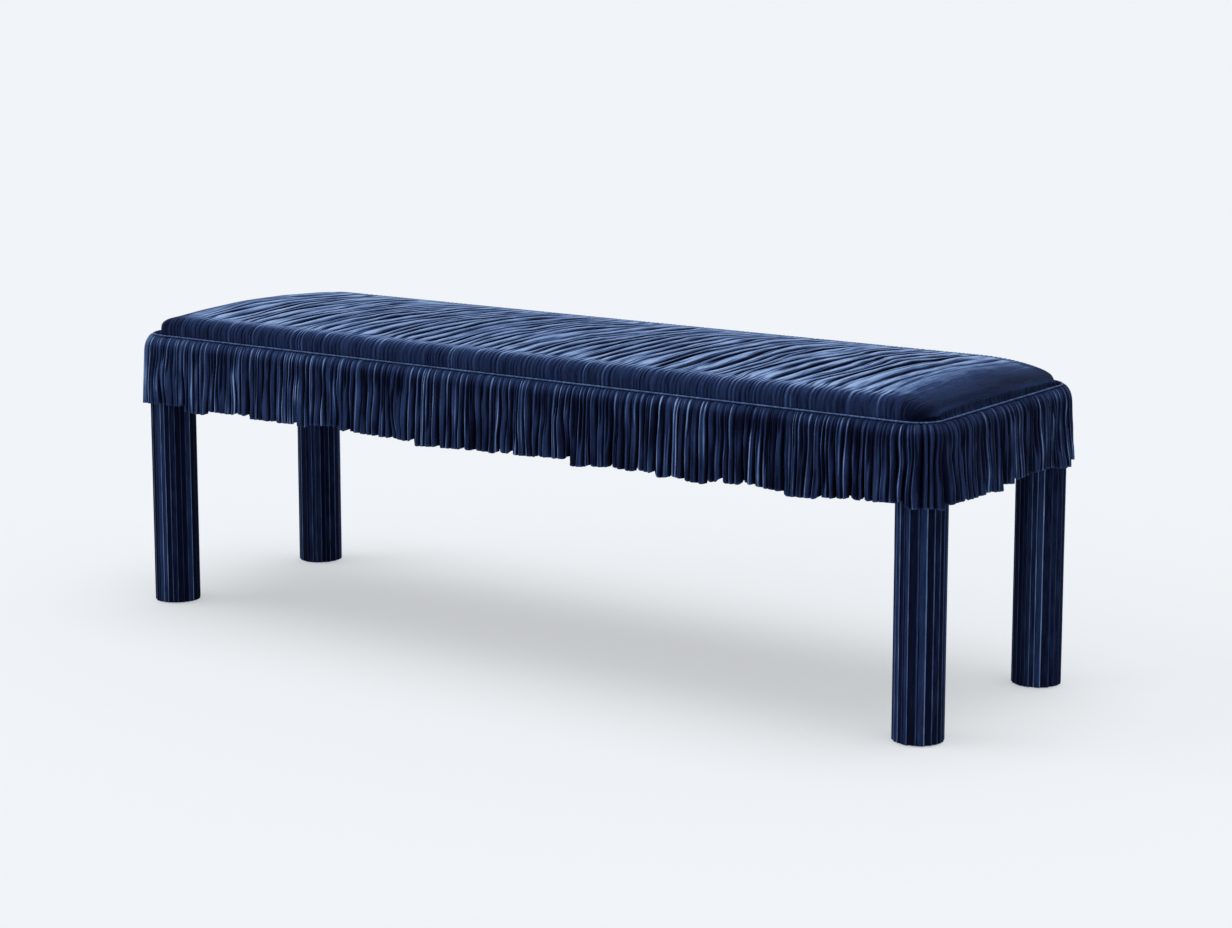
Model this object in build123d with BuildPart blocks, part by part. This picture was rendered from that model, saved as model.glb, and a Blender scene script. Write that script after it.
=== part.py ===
from build123d import *
import os
from math import cos, pi, radians, sin, sqrt

# Upholstered bench: a long seat pad in gathered velvet over a wooden frame, a pleated skirt that
# rolls over the frame's shoulder, and four round legs in pleated velvet sleeves.
# The origin is on the floor under the middle of the seat, X runs along the seat, Z is up.

# Driving sizes of the whole bench, in millimetres
seat_length = 1344.0  # seat pad at its seam, end to end
seat_depth = 392.0  # seat pad at its seam, front to back
seam_height = 416.0  # seam between pad and skirt, above the floor
corner_radius = 33.0  # rounded corner of the seam, seen from above
clearance = 0.3  # between soft pieces that lie on each other
fit_gap = 0.1  # between joinery pieces

# Velvet skirt
ledge_width = 20.0  # crest of the folds stands out this far from the seam
skirt_drop = 103.0  # seam to hem
hem_flare = 4.0  # hem stands out this much more than the shoulder
shoulder_drop = 19.0  # height over which the skirt turns from level to upright
ledge_run = 8.0  # level stretch of a ridge beside the seam, before it turns down
fold_depth = 6.5  # ridge to valley
skirt_cloth = 2.4  # lined velvet
hem_wander = 5.0  # how far the hem rises and falls
fold_sway = 6.0  # how far a fold leaves its even spacing
hem_waves = (37, 61, 17)  # three slow waves along a panel, in radians from its middle to its end
sway_waves = 23
side_fold_count = 66  # main folds of the front or the back panel, half of each corner included
end_fold_count = 19  # main folds of an end panel, half of each corner included
panel_gap = 0.4  # between two panels, on the mitre of a corner
shoulder_angles = (0, 45, 90)  # points of the cloth round the shoulder, in degrees

# Seat pad
edge_rise = 31.0  # top edge of the pad above the seam
end_rise = 9.0  # top edge at the very end of the pad
crown_rise = 9.0  # middle of the top above its edge
edge_round = 22.0  # rounding along the front and back edges
shoulder_run = 48.0  # length over which the pad rounds down at each end
draw_in = 1.5  # sides are drawn in this much at the seam
gather_count = 50  # gathers along the top
gather_height = 1.8  # ridge to valley of one gather
cover_thickness = 4.5  # gathered velvet with its lining
wadding_thickness = 8.0
low_edge_share = 0.6  # most of the height that the rounded edge may take at a low section
shoulder_shares = (1, 0.85, 0.7)  # where a plain layer has sections, as shares of the shoulder
corner_angles = (30, 55, 75, 90)  # where every layer has sections round a corner, in degrees
edge_angles = (0, 30, 60, 90)  # points of the rounded edge, in degrees
crown_shares = (0.5, 0, -0.5)  # points of the crown, as shares of half its width

# Piping in the seam
piping_radius = 2.2
piping_facet_count = 8

# Wooden frame
deck_thickness = 12.0
rail_height = 58.0
rail_thickness = 22.0
deck_overhang = 0.5  # deck stands out this far from the seam
frame_overhang = 8.0  # rails and corner blocks stand out this far from the seam
corner_block_width = 82.0
cross_rail_height = 40.0
cross_rail_spacing = 430.0
tenon_length = 36.0
tenon_width = 30.0
tenon_thickness = 8.0
edge_roll_bevel = 6.0  # along the top of the felt edge roll, under the skirt's shoulder

# Dust cover under the frame
dust_cover_thickness = 0.8
dust_cover_margin = 9.0  # from the frame's outer face
leg_notch_gap = 1.5  # round each leg

# Legs
leg_radius = 34.0  # crest of the pleats
leg_inset_x = 23.0  # leg axis from the seam at the end
leg_inset_y = 30.0  # leg axis from the seam at the side
leg_pleat_count = 24
pleat_height = 1.8
core_radius = 30.0
under_wrap = 1.5  # cloth turned under the foot of the leg
under_wrap_reach = 14.0  # how far the turned cloth reaches inwards

# Hardware
glide_radius = 21.0
glide_thickness = 3.0
bolt_radius = 4.0
bolt_in_leg = 45.0
bolt_in_block = 26.0
bore_gap = 0.05  # radial, between a bolt and its bore
bore_end_room = 3.0  # bore deeper than the bolt's end
overrun = 5.0  # cutting solids pass the faces they cut by this much

# Sizes that follow
half_length = seat_length / 2
half_depth = seat_depth / 2
skirt_top = seam_height - piping_radius  # upper face of the level cloth, under the piping
deck_top = skirt_top - skirt_cloth - clearance
deck_bottom = deck_top - deck_thickness
frame_bottom = deck_bottom - rail_height
frame_half_length = half_length + frame_overhang
frame_half_depth = half_depth + frame_overhang
frame_corner = corner_radius + frame_overhang
pad_bottom = deck_top + clearance
long_run = half_length - corner_radius  # straight part of a side, from its middle
short_run = half_depth - corner_radius  # straight part of an end
leg_x = half_length - leg_inset_x
leg_y = half_depth - leg_inset_y
leg_spots = [(x, y) for x in (-leg_x, leg_x) for y in (-leg_y, leg_y)]
leg_names = ["left_front", "left_back", "right_front", "right_back"]
core_bottom = glide_thickness + under_wrap
block_inner_x = frame_half_length - corner_block_width
block_inner_y = frame_half_depth - corner_block_width
rail_middle = (frame_bottom + deck_bottom) / 2

os.makedirs("parts", exist_ok=True)


def save(piece, label):
    piece.part.label = label
    export_step(piece.part, f"parts/{label}.step")


# Seat pad


def pad_section(x, inset, ripple, bottom):
    """Upright section of the pad at x, drawn in on every side by inset."""
    end = half_length - inset
    corner = corner_radius - inset
    round_share = max(0.0, (abs(x) - end + corner) / corner)
    fall_share = max(0.0, (abs(x) - end + shoulder_run) / shoulder_run)
    held = sqrt(max(0.0, 1 - fall_share**2))
    half_width = half_depth - inset - corner + corner * sqrt(max(0.0, 1 - round_share**2)) + ripple
    edge = seam_height + end_rise + (edge_rise - end_rise) * held - inset + ripple
    bend = min(edge_round - inset, low_edge_share * (edge - pad_bottom))
    crown = crown_rise * (1 + held) / 2
    level = half_width - bend
    foot = half_width - draw_in
    turn = [(level + bend * cos(radians(a)), edge - bend + bend * sin(radians(a))) for a in edge_angles]
    top = [(share * level, edge + crown * (1 - share**2)) for share in crown_shares]
    mirrored = [(-y, z) for y, z in reversed(turn)]
    with BuildSketch(Plane(origin=(x, 0, 0), x_dir=(0, 1, 0), z_dir=(1, 0, 0))) as section:
        with BuildLine():
            Polyline((-foot, bottom), (foot, bottom), *turn, *top, *mirrored, close=True)
        make_face()
    return section.sketch.face()


def corner_turns(inset):
    """Places of the sections round a corner, from its start to the end of the pad."""
    corner = corner_radius - inset
    return [long_run + corner * sin(radians(angle)) for angle in corner_angles]


def plain_layer(inset, bottom):
    """Sections of a layer without gathers."""
    shoulder = [half_length - share * shoulder_run for share in shoulder_shares]
    ends = sorted(shoulder + corner_turns(inset))
    return [pad_section(x, inset, 0, bottom) for x in [-x for x in reversed(ends)] + ends]


def gathered_layer(bottom):
    """Sections of the outer face: valley and ridge in turn, then the plain rounded ends."""
    steps = 2 * gather_count
    middle = []
    for i in range(steps + 1):
        swell = gather_height / 2 if i % 2 else -gather_height / 2
        middle.append(pad_section(long_run * (2 * i / steps - 1), 0, swell, bottom))
    left = [pad_section(-x, 0, 0, bottom) for x in reversed(corner_turns(0))]
    right = [pad_section(x, 0, 0, bottom) for x in corner_turns(0)]
    return left + middle + right


wadding_inset = cover_thickness + clearance
foam_inset = wadding_inset + wadding_thickness + clearance

with BuildPart() as seat_cover:
    loft(gathered_layer(pad_bottom), ruled=True)
    loft(plain_layer(cover_thickness, pad_bottom - overrun), ruled=True, mode=Mode.SUBTRACT)
save(seat_cover, "seat_cover")

with BuildPart() as wadding:
    loft(plain_layer(wadding_inset, pad_bottom), ruled=True)
    loft(plain_layer(foam_inset - clearance, pad_bottom - overrun), ruled=True, mode=Mode.SUBTRACT)
save(wadding, "wadding")

with BuildPart() as foam_pad:
    loft(plain_layer(foam_inset, pad_bottom), ruled=True)
save(foam_pad, "foam_pad")

# Piping: a covered cord all round the seam, on top of the skirt's gathered edge
piping_offset = gather_height / 2 + clearance + piping_radius
with BuildPart() as piping:
    with BuildSketch(Plane.XY.offset(seam_height + clearance)) as piping_outline:
        RectangleRounded(
            2 * (half_length + piping_offset),
            2 * (half_depth + piping_offset),
            corner_radius + piping_offset,
        )
    piping_path = piping_outline.sketch.face().outer_wire()
    with BuildSketch(Plane(origin=piping_path @ 0, z_dir=piping_path % 0)) as piping_round:
        RegularPolygon(piping_radius, piping_facet_count)
    sweep(sections=piping_round.sketch, path=piping_path)
save(piping, "seam_piping")

# Skirt


def skirt_section(plane, depth, share):
    """Cloth at share, from -1 to 1 along its panel: level, then over the shoulder and down to the hem."""
    short, shorter, slow = (sin(waves * share + waves) for waves in hem_waves)
    inward = depth * (1 - ((short + shorter) / 4) ** 2)
    hem = seam_height - skirt_drop + hem_wander * (short + shorter + slow) / 4
    turn = ledge_run - inward
    reach = ledge_width - ledge_run
    upright_top = skirt_top - shoulder_drop
    flare = hem_flare * (upright_top - hem) / (upright_top - seam_height + skirt_drop)
    arc = [(sin(radians(a)), cos(radians(a))) for a in shoulder_angles]
    outer = [(turn + reach * u, upright_top + shoulder_drop * v) for u, v in arc]
    inner = [
        (turn + (reach - skirt_cloth) * u, upright_top + (shoulder_drop - skirt_cloth) * v) for u, v in arc
    ]
    hem_out = turn + reach + flare
    with BuildSketch(plane) as section:
        with BuildLine():
            Polyline(
                (clearance, skirt_top),
                *outer,
                (hem_out, hem),
                (hem_out - skirt_cloth, hem),
                *reversed(inner),
                (clearance, skirt_top - skirt_cloth),
                close=True,
            )
        make_face()
    return section.sketch.face()


def skirt_panel(half_run, stand_off, facing, folds):
    """One side's skirt; facing is the angle of its outward direction."""
    face_radius = corner_radius + ledge_width
    half_path = half_run + face_radius * pi / 4 - panel_gap / 2
    strips = 2 * folds  # a ridge and a valley for each fold, with a valley at both ends
    side = Vector(-sin(facing), cos(facing))
    middle = Vector(cos(facing), sin(facing)) * stand_off
    sections = []
    for i in range(strips + 1):
        share = 2 * i / strips - 1
        along = share * half_path + fold_sway * sin(sway_waves * share) * (1 - share**2)
        turn = max(0.0, abs(along) - half_run) / face_radius * (1 if along > 0 else -1)
        centre = max(-half_run, min(half_run, along))
        direction = facing + turn
        normal = Vector(cos(direction), sin(direction))
        spot = middle + side * centre + normal * corner_radius
        tangent = Vector(sin(direction), -cos(direction))
        plane = Plane(origin=spot, x_dir=normal, z_dir=tangent)
        sections.append(skirt_section(plane, 0 if i % 2 else fold_depth, share))
    with BuildPart() as panel:
        loft(sections, ruled=True)
    return panel


save(skirt_panel(long_run, short_run, -pi / 2, side_fold_count), "skirt_front")
save(skirt_panel(long_run, short_run, pi / 2, side_fold_count), "skirt_back")
save(skirt_panel(short_run, long_run, pi, end_fold_count), "skirt_left")
save(skirt_panel(short_run, long_run, 0, end_fold_count), "skirt_right")

# Frame

side_rail_y = frame_half_depth - rail_thickness / 2
end_rail_x = frame_half_length - rail_thickness / 2
cross_rail_half = side_rail_y - rail_thickness / 2

with BuildPart() as deck:
    with BuildSketch(Plane.XY.offset(deck_bottom)):
        RectangleRounded(
            2 * (half_length + deck_overhang),
            2 * (half_depth + deck_overhang),
            corner_radius + deck_overhang,
        )
    extrude(amount=deck_thickness)
save(deck, "seat_deck")

# Felt edge roll on the rails, round the deck, which fills the shoulder under the skirt
with BuildPart() as edge_roll:
    with BuildSketch(Plane.XY.offset(deck_bottom)):
        RectangleRounded(2 * frame_half_length, 2 * frame_half_depth, frame_corner)
        RectangleRounded(
            2 * (half_length + deck_overhang + fit_gap),
            2 * (half_depth + deck_overhang + fit_gap),
            corner_radius + deck_overhang + fit_gap,
            mode=Mode.SUBTRACT,
        )
    extrude(amount=deck_thickness)
    chamfer(edge_roll.faces().sort_by(Axis.Z)[-1].outer_wire().edges(), edge_roll_bevel)
save(edge_roll, "edge_roll")


def cut_mortises(spots, along_x):
    """Slots for the loose tenons, centred on the joint faces."""
    length = tenon_length + 2 * fit_gap
    thick = tenon_thickness + 2 * fit_gap
    high = tenon_width + 2 * fit_gap
    with Locations(*[(x, y, rail_middle) for x, y in spots]):
        Box(length if along_x else thick, thick if along_x else length, high, mode=Mode.SUBTRACT)


side_joints = [(x, y) for x in (-block_inner_x, block_inner_x) for y in (-side_rail_y, side_rail_y)]
end_joints = [(x, y) for x in (-end_rail_x, end_rail_x) for y in (-block_inner_y, block_inner_y)]

for label, y in (("front_rail", -side_rail_y), ("back_rail", side_rail_y)):
    with BuildPart() as rail:
        with Locations((0, y, rail_middle)):
            Box(2 * block_inner_x, rail_thickness, rail_height)
        cut_mortises([spot for spot in side_joints if spot[1] == y], True)
    save(rail, label)

for label, x in (("left_end_rail", -end_rail_x), ("right_end_rail", end_rail_x)):
    with BuildPart() as rail:
        with Locations((x, 0, rail_middle)):
            Box(rail_thickness, 2 * block_inner_y, rail_height)
        cut_mortises([spot for spot in end_joints if spot[0] == x], False)
    save(rail, label)

with BuildPart() as cross_rails:
    with Locations((0, 0, deck_bottom - cross_rail_height / 2)):
        with GridLocations(cross_rail_spacing, 0, 2, 1):
            Box(rail_thickness, 2 * cross_rail_half, cross_rail_height)
save(cross_rails, "cross_rails")

with BuildPart() as corner_blocks:
    with BuildSketch(Plane.XY.offset(frame_bottom)):
        RectangleRounded(2 * frame_half_length, 2 * frame_half_depth, frame_corner)
        Rectangle(2 * block_inner_x, 2 * frame_half_depth, mode=Mode.SUBTRACT)
        Rectangle(2 * frame_half_length, 2 * block_inner_y, mode=Mode.SUBTRACT)
    extrude(amount=rail_height)
    with Locations(*[(x, y, frame_bottom) for x, y in leg_spots]):
        Cylinder(
            bolt_radius + bore_gap,
            bolt_in_block + bore_end_room,
            align=(Align.CENTER, Align.CENTER, Align.MIN),
            mode=Mode.SUBTRACT,
        )
    cut_mortises(side_joints, True)
    cut_mortises(end_joints, False)
save(corner_blocks, "corner_blocks")

with BuildPart() as loose_tenons:
    with Locations(*[(x, y, rail_middle) for x, y in side_joints]):
        Box(tenon_length, tenon_thickness, tenon_width)
    with Locations(*[(x, y, rail_middle) for x, y in end_joints]):
        Box(tenon_thickness, tenon_length, tenon_width)
save(loose_tenons, "loose_tenons")

with BuildPart() as dust_cover:
    with BuildSketch(Plane.XY.offset(frame_bottom - dust_cover_thickness)):
        RectangleRounded(
            2 * (frame_half_length - dust_cover_margin),
            2 * (frame_half_depth - dust_cover_margin),
            frame_corner - dust_cover_margin,
        )
        with Locations(*leg_spots):
            Circle(leg_radius + leg_notch_gap, mode=Mode.SUBTRACT)
    extrude(amount=dust_cover_thickness)
save(dust_cover, "dust_cover")

# Legs

leg_top = frame_bottom
valley_radius = leg_radius - pleat_height


def pleat_corners():
    """Corners of the sleeve seen from above: the crest of each pleat and the fold between two."""
    step = pi / leg_pleat_count
    radii = (leg_radius, valley_radius)
    return [(radii[i % 2] * cos(i * step), radii[i % 2] * sin(i * step)) for i in range(2 * leg_pleat_count)]


for (x, y), name in zip(leg_spots, leg_names):
    with BuildPart() as leg_core:
        with BuildSketch(Plane.XY.offset(core_bottom)):
            with Locations((x, y)):
                Circle(core_radius)
        extrude(amount=leg_top - core_bottom)
        with Locations((x, y, leg_top)):
            Cylinder(
                bolt_radius + bore_gap,
                bolt_in_leg + bore_end_room,
                align=(Align.CENTER, Align.CENTER, Align.MAX),
                mode=Mode.SUBTRACT,
            )
    save(leg_core, f"leg_core_{name}")

    with BuildPart() as leg_sleeve:
        with BuildSketch(Plane(origin=(x, y, glide_thickness))):
            with BuildLine():
                Polyline(*pleat_corners(), close=True)
            make_face()
        extrude(amount=leg_top - clearance - glide_thickness)
        with Locations((x, y, core_bottom)):
            Cylinder(
                core_radius + fit_gap,
                leg_top - core_bottom,
                align=(Align.CENTER, Align.CENTER, Align.MIN),
                mode=Mode.SUBTRACT,
            )
        with Locations((x, y, 0)):
            Cylinder(
                core_radius - under_wrap_reach,
                core_bottom + overrun,
                align=(Align.CENTER, Align.CENTER, Align.MIN),
                mode=Mode.SUBTRACT,
            )
    save(leg_sleeve, f"leg_sleeve_{name}")

# Nylon glide under each leg
with BuildPart() as glides:
    with BuildSketch():
        with Locations(*leg_spots):
            Circle(glide_radius)
    extrude(amount=glide_thickness)
save(glides, "leg_glides")

# Double-ended screw that draws each leg up to its corner block
with BuildPart() as leg_bolts:
    with Locations(*[(x, y, leg_top - bolt_in_leg) for x, y in leg_spots]):
        Cylinder(bolt_radius, bolt_in_leg + bolt_in_block, align=(Align.CENTER, Align.CENTER, Align.MIN))
save(leg_bolts, "leg_bolts")
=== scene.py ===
import math
import bpy
import numpy as np
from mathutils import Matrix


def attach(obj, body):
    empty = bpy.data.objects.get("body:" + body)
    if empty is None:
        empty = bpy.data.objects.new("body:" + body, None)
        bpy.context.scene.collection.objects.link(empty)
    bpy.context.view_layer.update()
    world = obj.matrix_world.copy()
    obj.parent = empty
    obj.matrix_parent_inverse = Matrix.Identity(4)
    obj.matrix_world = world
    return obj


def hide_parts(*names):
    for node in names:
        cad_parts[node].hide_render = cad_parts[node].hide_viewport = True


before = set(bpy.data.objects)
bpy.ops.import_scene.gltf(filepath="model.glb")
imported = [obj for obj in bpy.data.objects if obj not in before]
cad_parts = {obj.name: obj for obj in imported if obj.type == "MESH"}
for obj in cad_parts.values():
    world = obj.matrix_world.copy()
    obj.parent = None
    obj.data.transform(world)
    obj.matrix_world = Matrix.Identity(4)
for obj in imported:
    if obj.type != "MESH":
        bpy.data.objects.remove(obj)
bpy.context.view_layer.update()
print("frame loaded")

# Sizes shared by the soft pieces, in millimetres; the meshes themselves are in metres
bench = {
    "longRun": 639.0,  # straight part of a side, from its middle
    "shortRun": 163.0,  # straight part of an end
    "cornerRadius": 33.0,  # of the seam, seen from above
    "seamHeight": 416.0,
    "padBottom": 411.4,
    "skirtTop": 413.8,
    "deckBottom": 399.1,
    "deckTop": 411.1,
    "frameBottom": 341.1,
    "legX": 649.0,
    "legY": 166.0,
}
legNames = {
    "left_front": (-1, -1),
    "left_back": (-1, 1),
    "right_front": (1, -1),
    "right_back": (1, 1),
}


def addNode(tree, kind, settings=None, values=None, links=None):
    # Adds a node with its settings, values and links; a node as a source stands for its first output
    node = tree.nodes.new("ShaderNode" + kind)
    for key, value in (settings or {}).items():
        setattr(node, key, value)
    for key, value in (values or {}).items():
        node.inputs[key].default_value = value
    for key, source in (links or {}).items():
        tree.links.new(getattr(source, "outputs", [source])[0], node.inputs[key])
    return node


def linear(hexColour):
    # sRGB hex to the linear colour that a socket takes
    parts = [int(hexColour[i:i + 2], 16) / 255 for i in (1, 3, 5)]
    curve = [c / 12.92 if c <= 0.04045 else ((c + 0.055) / 1.055) ** 2.4 for c in parts]
    return (*curve, 1.0)


def newMaterial(name):
    # A material, its empty node tree, and the places in metres that its patterns are measured in
    material = bpy.data.materials.new(name)
    material.use_nodes = True
    tree = material.node_tree
    tree.nodes.clear()
    place = addNode(tree, "TexCoord").outputs["Object"]
    return material, tree, place


def setRamp(node, stops):
    ramp = node.color_ramp
    while len(ramp.elements) > 1:
        ramp.elements.remove(ramp.elements[-1])
    for i, (place, hexColour) in enumerate(stops):
        element = ramp.elements[0] if i == 0 else ramp.elements.new(place)
        element.position = place
        element.color = linear(hexColour)


# Cotton velvet, woven, cut and brushed: dark face on, with a pale bloom on every turn of the cloth,
# partly from the shader's sheen and partly painted light in the tone ramp
velvetLook = {
    # The stops paint light and shade: near black as painted shade in valleys, pale blue as painted
    # highlight on crests
    "valley": "#010104",
    "flank": "#0e1328",
    "face": "#29395f",
    "light": "#5a739d",
    "crest": "#94acd4",
    "sheenTint": "#a4bcec",
    "sheen": 0.3,
    "sheenRoughness": 0.22,
    "roughness": 0.85,
    "specular": 0.03,
    "specularTint": "#5f80cc",
    "pileScale": 900.0,  # tufts about 1 mm apart; real ones, 0.3 mm, are too fine to show
    "brushScale": 16.0,  # strokes where the pile lies another way, about 60 mm
}


def makeVelvet(name, crushScale, crushStrength, crushTone):
    look = velvetLook
    material, tree, place = newMaterial(name)
    fold = addNode(tree, "Attribute", {"attribute_name": "fold"})
    cloth = addNode(tree, "Attribute", {"attribute_name": "cloth"})
    brush = addNode(
        tree, "TexNoise", values={"Scale": look["brushScale"], "Detail": 3.0}, links={"Vector": place}
    )
    pile = addNode(
        tree, "TexNoise", values={"Scale": look["pileScale"], "Detail": 2.0, "Roughness": 0.7},
        links={"Vector": place},
    )
    stretch = addNode(
        tree, "VectorMath", {"operation": "MULTIPLY"}, {1: crushScale}, {0: cloth.outputs["Vector"]}
    )
    crush = addNode(
        tree, "TexNoise", values={"Scale": 1.0, "Detail": 3.0, "Roughness": 0.6},
        links={"Vector": stretch},
    )
    lines = addNode(
        tree, "Math", {"operation": "MULTIPLY_ADD"}, {1: crushTone, 2: -0.5 * crushTone - 0.05},
        {0: crush},
    )
    shifted = addNode(tree, "Math", {"operation": "MULTIPLY_ADD"}, {1: 0.1}, {0: brush, 2: lines})
    height = addNode(tree, "Math", {"operation": "ADD"}, links={0: fold.outputs["Fac"], 1: shifted})
    # The tone attribute carries painted shade and painted highlights, with some tone that differs at
    # random
    tone = addNode(tree, "ValToRGB", links={"Fac": height})
    stops = [(0.0, "valley"), (0.3, "flank"), (0.6, "face"), (0.8, "light"), (1.0, "crest")]
    setRamp(tone, [(level, look[part]) for level, part in stops])
    tufts = addNode(
        tree, "MapRange", values={"From Min": 0.3, "From Max": 0.7, "To Min": 0.78, "To Max": 1.2},
        links={"Value": pile},
    )
    toned = addNode(tree, "VectorMath", {"operation": "SCALE"}, links={0: tone, "Scale": tufts})
    rough = addNode(
        tree, "MapRange", values={"To Min": look["roughness"] - 0.1, "To Max": look["roughness"] + 0.1},
        links={"Value": brush},
    )
    crushBump = addNode(
        tree, "Bump", values={"Strength": crushStrength, "Distance": 0.001}, links={"Height": crush}
    )
    pileBump = addNode(
        tree, "Bump", values={"Strength": 0.25, "Distance": 0.0004},
        links={"Height": pile, "Normal": crushBump},
    )
    shader = addNode(
        tree, "BsdfPrincipled",
        values={
            "IOR": 1.5, "Specular IOR Level": look["specular"],
            "Specular Tint": linear(look["specularTint"]), "Sheen Weight": look["sheen"],
            "Sheen Roughness": look["sheenRoughness"], "Sheen Tint": linear(look["sheenTint"]),
        },
        links={"Base Color": toned, "Roughness": rough, "Normal": pileBump},
    )
    addNode(tree, "OutputMaterial", links={"Surface": shader})
    return material


# Cover: wrinkles 4 mm apart and 50 mm long. Skirt and sleeves: 3 mm apart, running down the cloth
coverVelvet = makeVelvet("Navy cotton velvet, gathered", (260.0, 22.0, 0.0), 0.5, 0.6)
skirtVelvet = makeVelvet("Navy cotton velvet, pleated", (330.0, 26.0, 0.0), 0.3, 0.42)


def makeFibre(name, light, dark, scale, roughness, bump, sheen=0.0):
    # Felted or spun fibre, matt and faintly cloudy; fibres of 0.02 mm are drawn as tufts of 1 to 2 mm
    material, tree, place = newMaterial(name)
    fibre = addNode(
        tree, "TexNoise", values={"Scale": scale, "Detail": 6.0, "Roughness": 0.7, "Distortion": 1.5},
        links={"Vector": place},
    )
    tone = addNode(tree, "ValToRGB", links={"Fac": fibre})
    setRamp(tone, [(0.3, dark), (0.7, light)])
    relief = addNode(
        tree, "Bump", values={"Strength": bump, "Distance": 0.001}, links={"Height": fibre}
    )
    shader = addNode(
        tree, "BsdfPrincipled",
        values={"Roughness": roughness, "Sheen Weight": sheen, "Specular IOR Level": 0.2},
        links={"Base Color": tone, "Normal": relief},
    )
    addNode(tree, "OutputMaterial", links={"Surface": shader})
    return material


waddingFibre = makeFibre("Polyester wadding, spun", "#f6f5f2", "#dcdad4", 420.0, 0.95, 0.8, 0.3)
feltFibre = makeFibre("Grey wool felt, pressed", "#9a9a97", "#7c7c7a", 700.0, 0.95, 0.5, 0.2)
cambricFibre = makeFibre("Black cambric, spunbonded", "#131316", "#08080a", 1100.0, 0.8, 0.3)


def makeFoam():
    # Polyurethane foam, cut with a wire: open cells about 1 mm across, matt, slightly yellowed
    material, tree, place = newMaterial("Polyurethane foam, wire cut")
    cells = addNode(tree, "TexVoronoi", values={"Scale": 900.0}, links={"Vector": place})
    age = addNode(tree, "TexNoise", values={"Scale": 7.0, "Detail": 4.0}, links={"Vector": place})
    tone = addNode(tree, "ValToRGB", links={"Fac": age})
    setRamp(tone, [(0.3, "#e9dcb6"), (0.7, "#f2ead0")])
    relief = addNode(
        tree, "Bump", values={"Strength": 0.6, "Distance": 0.0008}, links={"Height": cells}
    )
    shader = addNode(
        tree, "BsdfPrincipled", values={"Roughness": 0.95, "Specular IOR Level": 0.2},
        links={"Base Color": tone, "Normal": relief},
    )
    addNode(tree, "OutputMaterial", links={"Surface": shader})
    return material


# Growth lines about 7 mm apart and pores about 1 mm apart, both drawn out along the grain
woodLook = {"ringScale": 6.0, "poreScale": 42.0}
pineLook = {"light": "#dcbc86", "dark": "#c0935a"}


def makeWood(name, light, dark, stretchBy):
    # Planed softwood: lines along the piece, satin where the late wood is
    material, tree, place = newMaterial(name)
    along = addNode(tree, "VectorMath", {"operation": "MULTIPLY"}, {1: stretchBy}, {0: place})
    rings = addNode(
        tree, "TexNoise", values={"Scale": woodLook["ringScale"], "Detail": 5.0, "Distortion": 0.6},
        links={"Vector": along},
    )
    pores = addNode(
        tree, "TexNoise", values={"Scale": woodLook["poreScale"], "Detail": 2.0},
        links={"Vector": along},
    )
    tone = addNode(tree, "ValToRGB", links={"Fac": rings})
    setRamp(tone, [(0.35, light), (0.52, dark), (0.6, light)])
    rough = addNode(tree, "MapRange", values={"To Min": 0.5, "To Max": 0.7}, links={"Value": rings})
    relief = addNode(
        tree, "Bump", values={"Strength": 0.25, "Distance": 0.0004}, links={"Height": pores}
    )
    shader = addNode(
        tree, "BsdfPrincipled", values={"IOR": 1.5, "Specular IOR Level": 0.35},
        links={"Base Color": tone, "Roughness": rough, "Normal": relief},
    )
    addNode(tree, "OutputMaterial", links={"Surface": shader})
    return material


def makePlywood():
    # Birch plywood, sanded faces: pale long grain, and dark and light plies 1.33 mm thick on the edges
    # A wave texture turns through 20 radians for each unit of its scale, so 2.67 mm a pair is scale 118
    material, tree, place = newMaterial("Birch plywood, sanded")
    along = addNode(tree, "VectorMath", {"operation": "MULTIPLY"}, {1: (1.5, 22.0, 330.0)}, {0: place})
    grain = addNode(tree, "TexNoise", values={"Scale": 4.0, "Detail": 5.0}, links={"Vector": along})
    plies = addNode(
        tree, "TexWave", {"bands_direction": "Z"}, {"Scale": 118.0, "Distortion": 0.3, "Detail": 1.0},
        {"Vector": place},
    )
    both = addNode(
        tree, "Math", {"operation": "MULTIPLY_ADD"}, {1: 0.25}, {0: plies.outputs["Fac"], 2: grain}
    )
    tone = addNode(tree, "ValToRGB", links={"Fac": both})
    setRamp(tone, [(0.35, "#c9a676"), (0.8, "#e2c89c")])
    relief = addNode(
        tree, "Bump", values={"Strength": 0.2, "Distance": 0.0004}, links={"Height": grain}
    )
    shader = addNode(
        tree, "BsdfPrincipled", values={"Roughness": 0.6, "Specular IOR Level": 0.35},
        links={"Base Color": tone, "Normal": relief},
    )
    addNode(tree, "OutputMaterial", links={"Surface": shader})
    return material


def makeNylon():
    # Moulded black nylon: a waxy half-gloss with fine scuffs on the sliding face
    material, tree, place = newMaterial("Black nylon, moulded")
    scuffs = addNode(
        tree, "TexNoise", values={"Scale": 240.0, "Detail": 5.0, "Distortion": 2.0},
        links={"Vector": place},
    )
    tone = addNode(tree, "ValToRGB", links={"Fac": scuffs})
    setRamp(tone, [(0.4, "#101012"), (0.8, "#1d1d20")])
    rough = addNode(tree, "MapRange", values={"To Min": 0.35, "To Max": 0.6}, links={"Value": scuffs})
    shader = addNode(
        tree, "BsdfPrincipled", values={"IOR": 1.53}, links={"Base Color": tone, "Roughness": rough}
    )
    addNode(tree, "OutputMaterial", links={"Surface": shader})
    return material


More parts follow.
